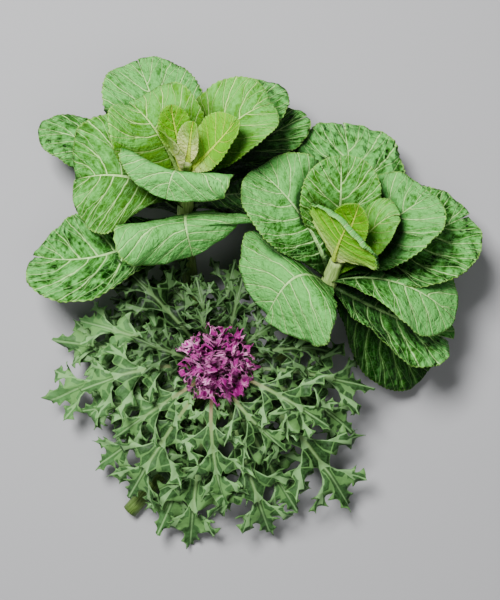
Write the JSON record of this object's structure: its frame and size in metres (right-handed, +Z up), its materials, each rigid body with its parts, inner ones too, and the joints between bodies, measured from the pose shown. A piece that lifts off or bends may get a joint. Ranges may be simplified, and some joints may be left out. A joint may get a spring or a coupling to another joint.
{
  "type": "kale bunch",
  "caption": "Bunch of cut kale lying on its stems: broad smooth-leaved heads with pale hearts and a feathered head with a ruffled purple heart.",
  "frame": {"origin": "on the surface that the bunch lies on, under the middle of its bounding box", "axes": "+Z up from the surface, +Y towards the two smooth heads, away from the cut stems, +X to the right head's side"},
  "size_m": [0.4274, 0.4736, 0.1609],
  "materials": {
    "smooth_leaf": "waxy green leaf with pale veins",
    "young_leaf": "soft yellow-green young leaf",
    "feathered_leaf": "dark green cut leaf, slightly glossy",
    "frilled_leaf": "magenta ruffled leaf with pale ribs",
    "stem": "fibrous green stem, cut across"
  },
  "bodies": {
    "root": {"left_head_leaves": "smooth_leaf", "left_head_heart": "young_leaf", "left_head_stem": "stem", "right_head_leaves": "smooth_leaf", "right_head_heart": "young_leaf", "right_head_stem": "stem", "feathered_head_leaves": "feathered_leaf", "feathered_head_heart": "frilled_leaf", "feathered_head_stem": "stem"}
  },
  "joints": []
}
